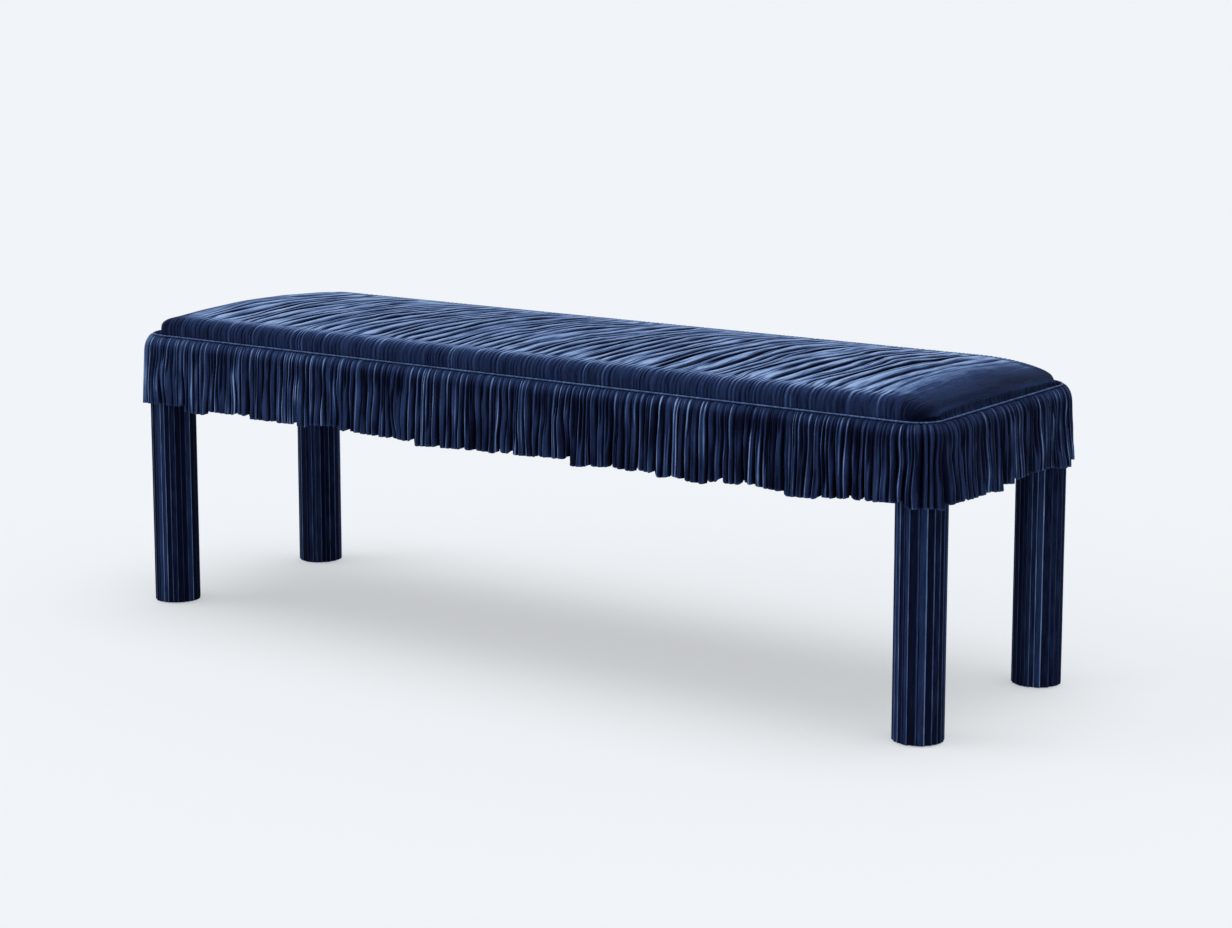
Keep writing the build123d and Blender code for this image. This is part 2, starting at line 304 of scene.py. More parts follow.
def makeZincSteel():
    # Steel screw, rolled thread, zinc plated: a cool grey metal with threads 1.25 mm apart
    material, tree, place = newMaterial("Steel screw, zinc plated")
    thread = addNode(tree, "TexWave", {"bands_direction": "Z"}, {"Scale": 251.3}, {"Vector": place})
    bloom = addNode(tree, "TexNoise", values={"Scale": 160.0, "Detail": 4.0}, links={"Vector": place})
    rough = addNode(tree, "MapRange", values={"To Min": 0.25, "To Max": 0.45}, links={"Value": bloom})
    relief = addNode(
        tree, "Bump", values={"Strength": 0.8, "Distance": 0.0006},
        links={"Height": thread.outputs["Fac"]},
    )
    shader = addNode(
        tree, "BsdfPrincipled", values={"Base Color": linear("#b9bcc0"), "Metallic": 1.0},
        links={"Roughness": rough, "Normal": relief},
    )
    addNode(tree, "OutputMaterial", links={"Surface": shader})
    return material


foamCells = makeFoam()
birchPly = makePlywood()
nylon = makeNylon()
zincSteel = makeZincSteel()
pineAlong = makeWood("Pine, planed, grain along the bench", **pineLook, stretchBy=(1.0, 24.0, 24.0))
pineAcross = makeWood("Pine, planed, grain across the bench", **pineLook, stretchBy=(24.0, 1.0, 24.0))
pineUpright = makeWood("Pine, turned, grain upright", **pineLook, stretchBy=(24.0, 24.0, 1.0))
beechTenon = makeWood("Beech tenon, sawn", "#d9ae7e", "#c4925f", (30.0, 30.0, 5.0))

nodeMaterials = {
    "seat_deck": birchPly,
    "front_rail": pineAlong,
    "back_rail": pineAlong,
    "left_end_rail": pineAcross,
    "right_end_rail": pineAcross,
    "cross_rails": pineAcross,
    "corner_blocks": pineUpright,
    "loose_tenons": beechTenon,
    "leg_glides": nylon,
    "leg_bolts": zincSteel,
}
nodeMaterials.update({"leg_core_" + name: pineUpright for name in legNames})
for name, material in nodeMaterials.items():
    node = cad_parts[name]
    node.data.materials.clear()
    node.data.materials.append(material)
print("materials made")


def noise(x, y, seed):
    # Smooth gradient noise, about -1 to 1, the same on every run
    angles = np.random.default_rng(seed).uniform(0, 2 * np.pi, (512, 64))
    ix = np.floor(x).astype(int)
    iy = np.floor(y).astype(int)
    fx = x - ix
    fy = y - iy

    def pull(dx, dy):
        angle = angles[(ix + dx) % 512, (iy + dy) % 64]
        return np.cos(angle) * (fx - dx) + np.sin(angle) * (fy - dy)

    ux = fx ** 3 * (fx * (fx * 6 - 15) + 10)
    uy = fy ** 3 * (fy * (fy * 6 - 15) + 10)
    low = pull(0, 0) * (1 - ux) + pull(1, 0) * ux
    high = pull(0, 1) * (1 - ux) + pull(1, 1) * ux
    return 1.5 * (low * (1 - uy) + high * uy)


def ease(value, start, end):
    # 0 below start and 1 above end, smooth between them
    share = np.clip((value - start) / (end - start), 0, 1)
    return share * share * (3 - 2 * share)


def surfaceNormals(points):
    # Unit normals of a grid of points, from its neighbours
    cross = np.cross(np.gradient(points, axis=0), np.gradient(points, axis=1))
    return cross / np.maximum(np.linalg.norm(cross, axis=2, keepdims=True), 1e-9)


def gridFaces(rows, columns, wrapRows=False, wrapColumns=False, flip=False):
    # Quads of a grid of vertices, stored row by row
    a = np.arange(rows * columns).reshape(rows, columns)
    b = np.roll(a, -1, axis=1)
    c = np.roll(b, -1, axis=0)
    d = np.roll(a, -1, axis=0)
    quads = np.stack((a, d, c, b) if flip else (a, b, c, d), axis=-1)
    return quads[:rows - 1 + wrapRows, :columns - 1 + wrapColumns].reshape(-1, 4).tolist()


def buildPiece(name, points, faces, material, fold=None, cloth=None):
    # points are in millimetres; the tone attribute is low for painted shade in valleys and high for
    # painted highlights on crests; cloth is a place in metres
    mesh = bpy.data.meshes.new(name)
    mesh.from_pydata((points.reshape(-1, 3) / 1000).tolist(), [], faces)
    if fold is not None:
        layer = mesh.attributes.new("fold", "FLOAT", "POINT")
        layer.data.foreach_set("value", np.asarray(fold, dtype=np.float32).ravel())
    if cloth is not None:
        layer = mesh.attributes.new("cloth", "FLOAT_VECTOR", "POINT")
        layer.data.foreach_set("vector", np.asarray(cloth, dtype=np.float32).ravel())
    mesh.materials.append(material)
    mesh.shade_smooth()
    mesh.validate()
    mesh.update()
    piece = bpy.data.objects.new(name, mesh)
    bpy.context.collection.objects.link(piece)
    return piece


def thicken(piece, thickness, offset):
    # Gives a single layer of cloth its thickness, above its faces at offset 1 and below them at -1
    layer = piece.modifiers.new("cloth thickness", "SOLIDIFY")
    layer.thickness = thickness / 1000
    layer.offset = offset


def settle(piece, node):
    # The bench is one body, and every soft piece stands for one node of it
    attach(piece, "root")
    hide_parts(node)


def seamPath(out, stations):
    # Points and outward directions round the seam, a little way out from it, from the front's middle
    halfLong, halfShort = bench["longRun"], bench["shortRun"]
    radius = bench["cornerRadius"] + out
    corner = radius * np.pi / 2
    end = [corner, 2 * halfShort, corner]
    marks = np.cumsum([0, halfLong, *end, 2 * halfLong, *end, halfLong])
    along = np.linspace(0, marks[-1], stations, endpoint=False)
    # The centre that the radius turns about rests at each corner and moves along each straight run
    x = halfLong * np.interp(along, marks, [0, 1, 1, 1, 1, -1, -1, -1, -1, 0])
    y = halfShort * np.interp(along, marks, [-1, -1, -1, 1, 1, 1, 1, -1, -1, -1])
    angle = np.pi / 2 * np.interp(along, marks, [-1, -1, 0, 0, 1, 1, 2, 2, 3, 3])
    outward = np.stack([np.cos(angle), np.sin(angle)], axis=-1)
    return along, np.stack([x, y], axis=-1) + radius * outward, outward


def sweep(line, outward, side, level):
    # A section carried along a line: side is how far out each of its points stands, level how high
    x = line[:, None, 0] + outward[:, None, 0] * side
    y = line[:, None, 1] + outward[:, None, 1] * side
    return np.stack([x, y, level + 0 * side], axis=-1)


def foldEdges(rng, start, end, count, levels, wander, seed, run, spread):
    # Places of the creases between folds at each level; the gaps differ, and change along each fold
    whole = np.arange(count + 1)
    gaps = 1 + spread * rng.uniform(-1, 1, count)[None, :]
    gaps = gaps + wander[:, None] * noise(whole[None, :-1] * 2.37 + 0.5, levels[:, None] / run, seed)
    edges = np.concatenate([0 * gaps[:, :1], np.cumsum(np.maximum(gaps, 0.14), axis=1)], axis=1)
    edges = edges / edges[:, -1:] * count
    # The slow part of the wander is taken out, so that no fold drifts far
    kernel = np.hanning(15) / np.hanning(15).sum()
    offset = edges - whole
    slow = np.stack([np.convolve(np.pad(row, 7, mode="edge"), kernel, "valid") for row in offset])
    edges = edges - slow * np.clip(np.minimum(whole, whole[::-1]) / 8, 0, 1)
    steps = np.maximum(np.diff(edges, axis=1), 0.1)
    edges = np.concatenate([0 * steps[:, :1], np.cumsum(steps, axis=1)], axis=1)
    return start + edges / edges[:, -1:] * (end - start)


def foldColumns(edges, shares, crests=0.5):
    # Columns of points between the creases, so that each crease and crest is one sharp line of the mesh
    width = np.diff(edges, axis=1)
    rows, count = width.shape
    crests = np.broadcast_to(crests, count)[:, None]
    shares = np.array(shares)[None, :]
    inFold = np.where(shares < 0.5, 2 * shares * crests, crests + (2 * shares - 1) * (1 - crests))
    places = (edges[:, :-1, None] + width[:, :, None] * inFold[None, :, :]).reshape(rows, -1)
    places = np.concatenate([places, edges[:, -1:]], axis=1)
    index = np.append(np.repeat(np.arange(count), shares.size), count - 1)
    share = np.append(np.tile(shares, count), 1.0)
    return places, index, share[None, :], width[:, index]


def creaseDepth(index, share, levels, hold, reach, run, seed):
    # How deep the nearer crease is, from 0.1 to 1: creases come and go along the cloth
    crease = index + np.where(share[0] < 0.5, 0, 1)
    uneven = noise(crease[None, :] * 5.31 + 0.5, levels[:, None] / run, seed)
    return np.clip(hold + reach * uneven, 0.1, 1)


# Seat pad: one form gives the gathered cover, the wadding and the foam
pad = {
    "edgeRise": 27.5,  # of the top's edge over the seam, along the sides
    "endRise": 1.0,  # the same at the very ends
    "crownRise": 9.0,
    "endCrown": 0.2,  # share of the crown that is left at the very end
    "edgeRound": 17.0,
    "cornerSpread": 30.0,  # the edge rounds over this much wider at the ends
    "shoulderRun": (68.0, 74.0, 122.0),  # the ends fall away over this: front, back left, back right
    "shoulderPower": 1.8,
    "drawIn": 1.5,
    "cornerTuck": 9.0,  # how far the corners pull in above the piping
    "allowance": 34.8,  # reach of the seam allowance from the straight runs
    "endIn": 2.5,  # the ends stand this far inside the seam
    "sideCloth": 60.0,  # cloth from the start of the rounding down to the seam
    "sideBend": 49.0,  # the part of it that bends over, at the sides
    "endBend": 52.0,  # and at the ends
    "gathers": 70,  # each divides into three pleats on the sides
    "rows": 68,
    "gatherHeight": 5.4,
    "sidePleat": 1.6,
    "slant": 0.13,  # of the gathers across the top
    "drift": 13.0,  # slow wander of the gathers
    "ripple": 2.2,  # quick wander
    "heldAt": 178.0,  # they run straight down from this far off the middle
    "swell": 1.2,  # slow lumps in the top
    "crumple": 0.8,  # quick lumps
    # Levels of painted light and shade in the cover's tone: the top lit pale, the sides, and the ends
    # darker
    "topTone": 0.82,
    "sideTone": 0.86,
    "seamShade": 0.43,  # how much the sides darken towards the seam
    "endShade": 0.34,
    "coverThickness": 6.2,
    "waddingInset": 6.7,
    "waddingGrid": (220, 40),
    "foamInset": 13.1,
    "foamGrid": (160, 30),
}


def padTop(x, y, end, side, inset):
    # Height of the pad's top over a place in one quarter; end is -1 at the left, side is -1 in front
    corner = bench["cornerRadius"] - inset
    frontRun, backLeft, backRight = pad["shoulderRun"]
    backRun = np.where(end < 0, backLeft, backRight)
    run = frontRun + (backRun - frontRun) * ease(y * side, -140, 150)
    fall = np.clip((x - bench["longRun"] - corner + run) / run, 0, 1)
    held = np.sqrt(1 - fall ** pad["shoulderPower"])
    turned = np.clip((x - bench["longRun"]) / corner, 0, 1)
    halfWidth = bench["shortRun"] + corner * np.sqrt(1 - turned ** 2)
    edge = bench["seamHeight"] + pad["endRise"] + (pad["edgeRise"] - pad["endRise"]) * held - inset
    edge = np.maximum(edge, bench["padBottom"] + 0.5)
    bend = np.minimum(pad["edgeRound"] - inset, 0.85 * (edge - bench["padBottom"]))
    reach = pad["edgeRound"] - inset + pad["cornerSpread"] * (1 - held)
    crown = pad["crownRise"] * (pad["endCrown"] + (1 - pad["endCrown"]) * held)
    over = np.clip((y - halfWidth + reach) / reach, 0, 1)
    dome = crown * np.clip(1 - (y / halfWidth) ** 2, 0, 1) ** 1.5
    return edge - bend + bend * np.sqrt(1 - over ** 2) + dome


def padForm(gridX, gridY, inset):
    # Place of the pad's surface for a place on its flattened cloth
    reach = pad["sideCloth"]
    corner = bench["cornerRadius"] - inset
    u = np.clip((np.abs(gridX) - bench["longRun"]) / reach, 0, 1)
    v = np.clip((np.abs(gridY) - bench["shortRun"]) / reach, 0, 1)
    wx = u * np.sqrt(1 - v ** 2 / 2) * reach
    wy = v * np.sqrt(1 - u ** 2 / 2) * reach
    length = np.hypot(wx, wy)
    nx = wx / np.maximum(length, 1e-6)
    ny = wy / np.maximum(length, 1e-6)
    bend = pad["edgeRound"] - inset
    start = corner - bend
    sideTurn = np.clip((length - start) / (pad["sideBend"] - start), 0, 1) * np.pi / 2
    sideReach = np.where(length < start, length, start + bend * np.sin(sideTurn))
    endTurn = np.clip(length / pad["endBend"], 0, 1) * np.pi / 2
    endReach = (corner - pad["endIn"]) * np.sin(endTurn) ** 0.9
    reached = np.minimum(sideReach * ny ** 2 + endReach * nx ** 2, corner)
    sideDrop = np.clip((length - pad["sideBend"]) / (reach - pad["sideBend"]), 0, 1)
    endDrop = np.clip((length - pad["endBend"]) / (reach - pad["endBend"]), 0, 1)
    upright = sideDrop * ny ** 2 + endDrop * nx ** 2
    x = np.minimum(np.abs(gridX), bench["longRun"]) + nx * reached
    y = np.minimum(np.abs(gridY), bench["shortRun"]) + ny * reached
    top = padTop(x, y, np.sign(gridX), np.sign(gridY), inset)
    z = top * (1 - upright) + bench["padBottom"] * upright
    drawn = upright * pad["drawIn"] + pad["cornerTuck"] * 2 * nx * ny * ease(length, 20, pad["endBend"])
    x = x - nx * drawn
    y = y - ny * drawn
    return np.stack([np.sign(gridX) * x, np.sign(gridY) * y, z], axis=-1)


def padRows(rows):
    # Cloth places across the bench, closer together down the sides than on top
    side = int(rows * 0.24)
    turn = bench["shortRun"] - 14
    flank = np.linspace(turn, bench["shortRun"] + pad["sideCloth"], side)
    middle = np.linspace(-turn, turn, rows - 2 * side + 2)[1:-1]
    return np.concatenate([-flank[::-1], middle, flank])


def padGrid(columns, rows):
    endX = bench["longRun"] + pad["sideCloth"]
    return np.meshgrid(np.linspace(-endX, endX, columns), padRows(rows), indexing="xy")


def gathers(rows):
    # Gathers run across the top, slanted and merging, and turn into fine upright pleats on the sides
    rng = np.random.default_rng(20)
    count = pad["gathers"]
    levels = padRows(rows)
    endX = bench["longRun"] + pad["sideCloth"]
    pitch = 2 * endX / count
    aside = np.abs(levels)
    held = pad["heldAt"] * np.tanh(levels / pad["heldAt"])
    onTop = 1 - ease(aside, 140, 185)
    edges = foldEdges(rng, -endX, endX, count, held, 0.1 + 0.95 * onTop, 11, 150, 0.3)
    # Each gather holds three pleats
    span = np.diff(edges, axis=1)
    parts = [edges[:, :-1]]
    number = np.arange(count)[None, :]
    for third in (1 / 3, 2 / 3):
        stray = 0.05 * rng.uniform(-1, 1, count)[None, :]
        wave = 0.16 * noise(number * 4.7 + 3 * third, held[:, None] / 60, 17) * onTop[:, None]
        parts.append(edges[:, :-1] + span * (third + stray + wave))
    finer = np.concatenate([np.stack(parts, axis=2).reshape(len(levels), -1), edges[:, -1:]], axis=1)
    x, index, share, width = foldColumns(finer, (0.0, 0.09, 0.26, 0.5, 0.74, 0.91))
    gather = index // 3
    wide = span[:, gather]
    gatherShare = np.clip((x - edges[:, gather]) / wide, 0, 1)
    y = levels[:, None] + 0 * x
    free = 1 - ease(np.abs(x), 420, 640)
    drift = pad["drift"] * noise(x / 170, held[:, None] / 190, 12)
    x = x + free * (pad["slant"] * held[:, None] + drift)
    x = x + free * pad["ripple"] * noise(x / 42, held[:, None] / 90, 13)
    onSide = ease(aside, 150, 174)[:, None]
    onEnd = ease(np.abs(x), 575, 662)
    calm = 1 - 0.92 * ease(np.abs(x), 545, 625) * (1 - onSide)
    away = np.abs(2 * share - 1)
    farAway = np.abs(2 * gatherShare - 1)
    nearer = gather[None, :] + np.where(gatherShare < 0.5, 0, 1)
    topDeep = calm * np.clip(0.86 + 1.0 * noise(nearer * 5.31 + 0.5, levels[:, None] / 90, 14), 0.05, 1)
    fineDeep = calm * creaseDepth(index, share, levels, 0.5, 0.9, 55, 18)
    sideDeep = creaseDepth(index, share, levels, 0.7, 0.6, 45, 15)
    full = np.clip(wide / pitch, 0, 2.2) ** 0.75
    topShape = 1 - 0.8 * topDeep * farAway ** 3.2 - 0.2 * fineDeep * away ** 3
    sideShape = 1 - sideDeep * away ** 2
    topHeight = pad["gatherHeight"] * full * (topShape - 0.85)
    sideHeight = pad["sidePleat"] * (sideShape - 0.8)
    height = topHeight * (1 - onSide) + sideHeight * onSide
    swell = pad["swell"] * noise(x / 46, held[:, None] / 130, 16)
    crumple = pad["crumple"] * noise(x / 15, held[:, None] / 45, 21) * (1 - 0.7 * onEnd)
    height = height * (1 - 0.9 * onEnd) + (swell + crumple) * (1 - onSide)
    height = np.maximum(height, 1.4 - pad["coverThickness"])
    # Tone, with painted light and shade: on top, wide pale bands of painted sheen between thin creases
    # painted dark as shade, and a painted highlight along the rounded edge; sides fade to dark navy at
    # the seam as painted shade
    topTone = pad["topTone"] + 0.1 * np.clip(wide / pitch, 0, 1)
    topTone = topTone * (1 - 0.98 * topDeep * ease(farAway, 0.36, 0.86))
    topTone = topTone * (1 - 0.75 * fineDeep * away ** 3)
    topTone = topTone + 0.12 * np.exp(-((aside[:, None] - 158) / 20) ** 2) * topShape
    topTone = topTone + 0.045 * ease(np.abs(x), 150, 560)
    nearSeam = ease(aside, 166, 204)[:, None]
    # Painted highlights: a pale line down some side pleats and a fainter one on every pleat's crest,
    # both weaker near the seam
    paleLine = (rng.random(3 * count) > 0.84)[index][None, :] * (1 - away) ** 1.5 * (1 - 0.5 * nearSeam)
    sideTone = pad["sideTone"] - pad["seamShade"] * nearSeam
    sideTone = sideTone * (1 - (0.7 - 0.4 * nearSeam) * sideDeep * away ** 2)
    sideTone = sideTone + 0.3 * paleLine + 0.14 * (1 - away) ** 3 * (1 - 0.8 * nearSeam)
    tone = topTone * (1 - onSide) + sideTone * onSide
    # Painted shade: the ends, which turn away from the light, are much darker than the top
    endShade = pad["endShade"] + 0.08 * (tone - 0.6)
    cloudy = 0.1 * noise(np.abs(x) / 15 + 0.3, y / 170, 19)
    tone = tone + ((endShade - tone) * 0.95 + cloudy) * onEnd
    # Fine lines in the cloth turn down to the seam at the ends
    atEnd = ease(np.abs(x), 635, 678)
    across = x + (y - x) * atEnd
    lengthwise = y + (x - y) * atEnd
    cloth = np.stack([across / 1000, lengthwise / 1000, 0 * x], axis=-1)
    return x, y, height, np.clip(tone, 0, 1), cloth


def shellFaces(rows, columns, stepR, stepC):
    # A fine outer grid, a coarse inner one made of every few of its points, and the rim between them
    rowsKept = list(range(0, rows - 1, stepR)) + [rows - 1]
    columnsKept = list(range(0, columns - 1, stepC)) + [columns - 1]
    outer = np.arange(rows * columns).reshape(rows, columns)
    inner = np.arange(len(rowsKept) * len(columnsKept)).reshape(len(rowsKept), -1) + outer.size
    faces = gridFaces(rows, columns)
    faces += (np.array(gridFaces(*inner.shape, flip=True)) + outer.size).tolist()

    def rim(fine, coarse, kept, turn):
        fine, coarse = fine.tolist(), coarse.tolist()
        for m in range(len(kept) - 1):
            for k in range(kept[m], kept[m + 1]):
                faces.append([fine[k + 1], fine[k], coarse[m]][::turn])
            faces.append([fine[kept[m + 1]], coarse[m], coarse[m + 1]][::turn])

    rim(outer[0], inner[0], columnsKept, 1)
    rim(outer[:, -1], inner[:, -1], rowsKept, 1)
    rim(outer[-1], inner[-1], columnsKept, -1)
    rim(outer[:, 0], inner[:, 0], rowsKept, -1)
    return faces, np.ix_(rowsKept, columnsKept)


def padShell(name, grid, outer, innerInset, steps, material, fold=None, cloth=None):
    # A closed layer from its outer face and the plain form at a larger inset
    faces, kept = shellFaces(*outer.shape[:2], *steps)
    inner = padForm(*grid, innerInset)[kept]
    count = inner.shape[0] * inner.shape[1]
    points = np.concatenate([outer.reshape(-1, 3), inner.reshape(-1, 3)])
    if fold is not None:
        fold = np.concatenate([fold.ravel(), np.full(count, 0.5)])
        cloth = np.concatenate([cloth.reshape(-1, 3), np.zeros((count, 3))])
    return buildPiece(name, points, faces, material, fold, cloth)


gridX, gridY, height, fold, cloth = gathers(pad["rows"])
plain = padForm(gridX, gridY, 0.0)
down = np.maximum(np.abs(gridY) - bench["shortRun"], np.abs(gridX) - bench["longRun"])
normals = surfaceNormals(plain)
normals *= np.sign(normals[:, :, 2:3].mean())
covered = plain + normals * (height * (1 - 0.6 * ease(down, 48, 60)))[:, :, None]
covered[:, :, 2] = np.maximum(covered[:, :, 2], bench["padBottom"])
# The seam allowance turns out under the piping
runs = np.array([bench["longRun"], bench["shortRun"]])
fromRun = covered[:, :, :2] - np.clip(covered[:, :, :2], -runs, runs)
away = np.maximum(np.linalg.norm(fromRun, axis=2), 1)
turnedOut = ease(down, 55, 59) * (pad["allowance"] / away - 1)
covered[:, :, :2] += fromRun * turnedOut[:, :, None]
grid = (gridX, gridY)
seatCover = padShell(
    "seatCover", grid, covered, pad["coverThickness"], (6, 10), coverVelvet, fold, cloth
)
settle(seatCover, "seat_cover")

grid = padGrid(*pad["waddingGrid"])
softLayer = padForm(*grid, pad["waddingInset"])
softLayer[:, :, 2] += 0.25 * noise(grid[0] / 40, grid[1] / 40, 31)
softLayer[:, :, 2] = np.maximum(softLayer[:, :, 2], bench["padBottom"])
waddingLayer = padShell("waddingLayer", grid, softLayer, pad["foamInset"] - 0.3, (2, 4), waddingFibre)
settle(waddingLayer, "wadding")

foamTop = padForm(*padGrid(*pad["foamGrid"]), pad["foamInset"])
columns, rows = pad["foamGrid"]
# The flat underside is one face round the grid's border
index = np.arange(rows * columns).reshape(rows, columns)
border = np.concatenate([index[0], index[1:, -1], index[-1, -2::-1], index[-2:0:-1, 0]])
faces = gridFaces(rows, columns) + [border[::-1].tolist()]
seatFoam = buildPiece("seatFoam", foamTop, faces, foamCells)
settle(seatFoam, "foam_pad")
print("seat pad made")

# Piping: velvet drawn over a cord, with small tucks along it
piping = {
    "radius": 1.5,
    "height": 415.6,
    "out": 3.0,
    "tuck": 0.35,
    "tuckPitch": 8.0,
    "wave": 0.175,  # how far the cord rises and dips
    # pale level of the cord: a painted highlight
    "tone": 0.6,
    "stations": 1500,
    "around": 12,
}
along, line, outward = seamPath(piping["out"], piping["stations"])
ring = np.linspace(0, 2 * np.pi, piping["around"], endpoint=False)[None, :]
ridges = np.abs(noise(along / piping["tuckPitch"], along * 0, 41))[:, None]
tuck = np.minimum(1, 2.1 * ridges) ** 0.7  # 0 in a tuck, 1 between two
wave = piping["wave"] * noise(along / 30, along * 0, 42)[:, None]
tube = piping["radius"] - piping["tuck"] * (1 - tuck)
points = sweep(line, outward, tube * np.cos(ring), piping["height"] + wave + tube * np.sin(ring))
# Painted light and shade: the cord's upper half paler and its underside darker, its tucks darker, on a
# pale level that paints the light the cord catches
tone = np.clip(piping["tone"] + 0.08 * tuck + 0.12 * np.sin(ring), 0, 1)
run = along[:, None] / 1000 + 0 * ring
cloth = np.stack([run, 0.002 * ring + 0 * run, 0 * run], axis=-1)
faces = gridFaces(piping["stations"], piping["around"], True, True)
seamPiping = buildPiece("seamPiping", points, faces, skirtVelvet, tone, cloth)
settle(seamPiping, "seam_piping")
print("piping made")

# Skirt: gathered under the piping, over the frame's shoulder and down to a loose hem
skirt = {
    "pitch": (10.9, 14.2),  # of the folds: on the long sides, on the ends
    "fullness": 1.6,  # cloth for each length of the run that it is gathered on
    "faceOut": 20.0,  # the hanging face stands this far out from the seam
    "depth": 6.8,
    "topDepth": 1.4,  # of the gathers under the piping
    "cloth": 1.1,
    "ledge": 5.8,
    "ledgeRun": 8.0,  # cloth from the piping to the end of the ledge
    "shoulderRun": 33.0,  # to the foot of the shoulder
    "length": 114.0,  # to the hem
    "reach": 12.6,
    "drop": 27.0,
    "flare": 4.0,
    "hem": 309.8,
    "hemStep": 5.0,
    "paler": 0.06,  # painted light: the long panels a little paler towards the left end, as if the light were nearer there
    "paintedRightShade": 0.12,  # painted shade: the right panel darker, as it faces away from the light
    # Tone levels: the folds' body, the shoulder painted paler where it faces the light, painted
    # highlight lines, and a painted highlight at the hem
    "bodyTone": 0.5,
    "shoulderLight": 0.32,
    "highlightTone": 0.62,
    "hemHighlight": 0.62,
    "rows": (10, 20),  # over the shoulder, down to the hem
}


def skirtPanel(name, node, halfRun, standOff, facing, seed):
    rng = np.random.default_rng(seed)
    ledgeRun, shoulderRun, length = skirt["ledgeRun"], skirt["shoulderRun"], skirt["length"]
    faceRadius = bench["cornerRadius"] + skirt["faceOut"]
    halfPath = halfRun + faceRadius * np.pi / 4 - 0.01
    count = round(2 * halfPath / skirt["pitch"][0 if halfRun > 300 else 1])
    upper = np.linspace(0, shoulderRun, skirt["rows"][0] + 1)[:-1]
    down = np.concatenate([upper, np.linspace(shoulderRun, length, skirt["rows"][1])])
    wander = 0.12 + 0.32 * ease(down, 5, 60)
    edges = foldEdges(rng, -halfPath, halfPath, count, down, wander, seed + 1, 75, 0.36)
    lean = np.where(rng.random(count) < 0.5, -1, 1) * rng.uniform(0.04, 0.24, count)
    columnShares = (0.0, 0.07, 0.17, 0.29, 0.42, 0.5, 0.58, 0.71, 0.83, 0.93)
    a, index, share, width = foldColumns(edges, columnShares, 0.5 + lean)
    d = down[:, None] + 0 * a
    free = ease(halfPath - np.abs(a), 0, 30)  # 0 where the next panel joins on
    a = a + 2.2 * free * ease(d, 5, 105) * noise(a / 50, d / 110, seed + 2)
    # Each fold is round with a deep valley at either side, and starts as two gathers under the piping
    away = np.abs(2 * share - 1)
    deep = creaseDepth(index, share, down, 0.82, 0.6, 60, seed + 3)
    deep[:, [0, 1, -2, -1]] = 1
    uneven = noise(index[None, :] * 5.17 + 0.5, down[:, None] / 70, seed + 4)
    raised = np.clip(0.88 + 0.3 * uneven, 0.55, 1)
    raised = raised + (1 - raised) * (1 - free)
    shape = raised * (1 - deep * away ** 2.2)
    parting = rng.uniform(0.36, 0.64, count)[index][None, :]
    lasts = (4 + 90 * rng.random(count) ** 2.2)[index][None, :]
    second = (1 - ease(d, lasts, lasts + 26)) * free
    groove = np.exp(-((share - parting) / 0.13) ** 2)
    shape = shape * (1 - 0.75 * second * groove)
    # Clumps of folds at the hem, each with its own length and slant, parted by deeper valleys
    starts = np.cumsum(rng.integers(2, 6, count))
    starts = starts[starts < count - 1]
    clumps = np.concatenate([[-halfPath], edges[-1][starts], [halfPath]])
    number = np.searchsorted(starts, index, side="right")
    span = clumps[number + 1] - clumps[number]
    inClump = np.clip((a[-1] - clumps[number]) / span, 0, 1)
    fromEdge = np.minimum(inClump, 1 - inClump) * span
    joined = free[-1]
    lengthStep = rng.uniform(-1, 1, count)[number]
    lengthStep = lengthStep + rng.uniform(-0.7, 0.7, count)[number] * (inClump - 0.5)
    rounding = rng.uniform(0.2, 5.0, count)[number] * (1 - ease(fromEdge, 0, 8))
    small = 0.7 * noise(a[-1] / 6, 0 * a[-1], seed + 9)
    hem = skirt["hem"] + joined * (skirt["hemStep"] * lengthStep + rounding + small)
    parted = (1 - ease(fromEdge, 0, 4.0))[None, :] * ease(d, 45, 112) * joined[None, :]
    shape = shape * (1 - 0.9 * parted)
    depth = skirt["topDepth"] + (skirt["depth"] - skirt["topDepth"]) * ease(d, 3, 38)
    inward = depth * (1 - shape)
    tuckIn = 4.0 * np.clip(noise(a / 26, 0 * d, seed + 10), 0, 1) * ease(d, 80, 114)
    # Profile of a crest: level, over the shoulder, then upright with a slight flare
    onShoulder = np.clip((d - ledgeRun) / (shoulderRun - ledgeRun), 0, 1) * np.pi / 2
    falling = np.clip((d - shoulderRun) / (length - shoulderRun), 0, 1)
    out = 0.6 + np.clip(d, 0, ledgeRun) / ledgeRun * (skirt["ledge"] - 0.6)
    out = out + (skirt["reach"] - inward) * np.sin(onShoulder) + skirt["flare"] * falling - tuckIn
    shoulderFoot = bench["skirtTop"] - skirt["drop"]
    height = shoulderFoot + skirt["drop"] * np.cos(onShoulder)
    height = np.where(d > shoulderRun, shoulderFoot + (hem[None, :] - shoulderFoot) * falling, height)
    height = height - inward * np.cos(onShoulder) * np.where(d < shoulderRun, 1, 0)
    # The gathers stand up beside the piping
    height = height + 1.2 * shape * np.exp(-((d - 9.5) / 3.5) ** 2)
    # Folds are fuller than their valleys
    bulge = -0.04 * width * np.sin(2 * np.pi * share) * free * ease(d, 15, 45)
    centre = np.clip(a, -halfRun, halfRun) + bulge * np.where(np.abs(a) < halfRun, 1, 0)
    angle = facing + np.maximum(0, np.abs(a) - halfRun) / faceRadius * np.sign(a)
    out = out + bench["cornerRadius"]
    x = np.cos(facing) * standOff - np.sin(facing) * centre + np.cos(angle) * out
    y = np.sin(facing) * standOff + np.cos(facing) * centre + np.sin(angle) * out
    points = np.stack([x, y, height], axis=-1)
